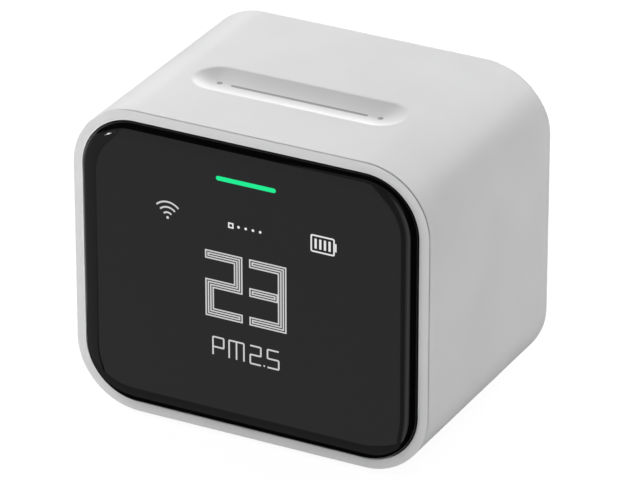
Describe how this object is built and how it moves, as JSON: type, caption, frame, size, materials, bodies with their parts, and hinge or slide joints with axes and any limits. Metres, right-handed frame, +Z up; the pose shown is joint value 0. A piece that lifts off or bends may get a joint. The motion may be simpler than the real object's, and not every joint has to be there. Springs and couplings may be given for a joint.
{
  "type": "air quality monitor",
  "caption": "Palm-sized desk air quality monitor: white wraparound sleeve with a touch groove on top, domed black display, vented rear cover and fan-driven particle sensor.",
  "frame": {"origin": "middle of the resting face, on the surface it stands on, under the centre of the object's box", "axes": "+X to the display's right as its reader sees it, -Y out of the display, +Z up"},
  "size_m": [0.062, 0.0448, 0.053],
  "materials": {
    "sleeve": "satin white",
    "bezel": "satin white",
    "lens": "polished black",
    "rear_cover": "fine matt white",
    "foot_rubber": "matt grey",
    "inner_black": "matt black",
    "inner_grey": "matt grey",
    "display_glass": "polished",
    "clear_acrylic": "frosted",
    "circuit_board": "solder mask green",
    "flex_film": "amber film",
    "ivory_plastic": "moulded ivory",
    "foam": "closed-cell foam",
    "cable_red": "cable jacket",
    "cable_black": "cable jacket",
    "cable_grey": "flat cable jacket",
    "pouch_foil": "dull foil",
    "steel": "bright",
    "brass": "turned",
    "gold_can": "plated",
    "copper_winding": "enamelled wire",
    "magnet": "sintered",
    "dust_mesh": "woven screen",
    "membrane": "porous white membrane"
  },
  "bodies": {
    "case": {"sleeve_housing": "sleeve", "front_bezel": "bezel", "front_lens": "lens", "lens_tape": "foam", "display_panel": "display_glass", "display_carrier": "inner_black", "display_flex": "flex_film", "display_socket": "ivory_plastic", "indicator_light_guide": "clear_acrylic", "main_board": "circuit_board", "board_screw_1": "steel", "board_screw_2": "steel", "board_screw_3": "steel", "board_screw_4": "steel", "indicator_led": "ivory_plastic", "wifi_module": "circuit_board", "wifi_shield": "steel", "processor_shield": "steel", "battery_socket": "ivory_plastic", "sensor_socket": "ivory_plastic", "touch_socket": "ivory_plastic", "power_socket": "ivory_plastic", "touch_sensor_flex": "flex_film", "battery_pack": "pouch_foil", "battery_protection_board": "circuit_board", "battery_lead_positive": "cable_red", "battery_lead_negative": "cable_black", "inner_chassis": "inner_grey", "sensor_tray": "inner_black", "sensor_lid": "inner_black", "sensor_circuit_board": "circuit_board", "particle_detector": "display_glass", "laser_diode": "brass", "fan_frame": "inner_black", "fan_bearing": "brass", "fan_stator": "copper_winding", "sensor_plug": "ivory_plastic", "sensor_cable": "cable_grey", "inlet_gasket": "foam", "co2_board": "circuit_board", "co2_sensor": "gold_can", "co2_membrane": "membrane", "climate_board": "circuit_board", "climate_sensor": "inner_black", "usb_shell": "steel", "usb_tongue": "inner_black", "usb_board": "circuit_board", "usb_screw_left": "steel", "usb_screw_right": "steel", "power_flex": "flex_film", "dust_screen": "dust_mesh", "rear_cover": "rear_cover", "foot_pad": "foot_rubber", "foot_screw_left": "steel", "foot_screw_right": "steel"},
    "fan": {"fan_rotor": "inner_black", "fan_shaft": "steel", "fan_magnet": "magnet"}
  },
  "joints": [
    {"name": "fan_spin", "type": "hinge", "parent": "case", "child": "fan", "pos_m": [-0.0131, 0.0117, 0.03415], "axis": [0, 1, 0], "continuous": true}
  ]
}
